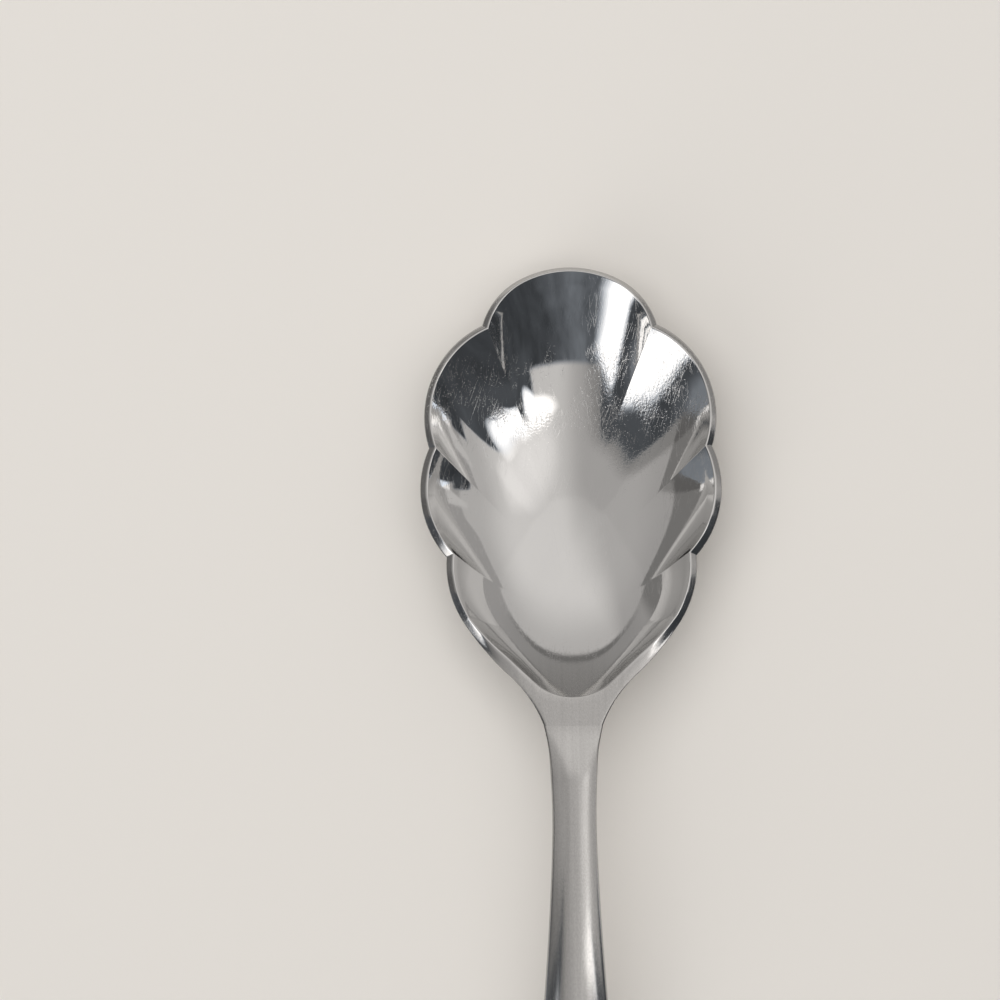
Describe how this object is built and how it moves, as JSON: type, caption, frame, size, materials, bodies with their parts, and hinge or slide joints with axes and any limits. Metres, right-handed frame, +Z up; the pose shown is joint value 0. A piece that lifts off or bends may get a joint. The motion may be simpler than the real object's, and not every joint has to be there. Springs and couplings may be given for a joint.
{
  "type": "sugar shell spoon",
  "caption": "Steel sugar shell: a shallow scalloped shell bowl with a polished hollow on a plain, slim, arched handle that widens to a round end.",
  "frame": {"origin": "on the table, under the middle of the spoon's bounding box", "axes": "+Y along the spoon from the handle's end to the tip of the bowl, +X to the right seen from above with the bowl at the top, +Z up out of the bowl"},
  "size_m": [0.0358, 0.1517, 0.0136],
  "materials": {
    "polished_steel": "mirror polished stainless steel with fine scratches",
    "satin_steel": "satin stainless steel"
  },
  "bodies": {
    "root": {"bowl": "polished_steel", "handle": "satin_steel"}
  },
  "joints": []
}
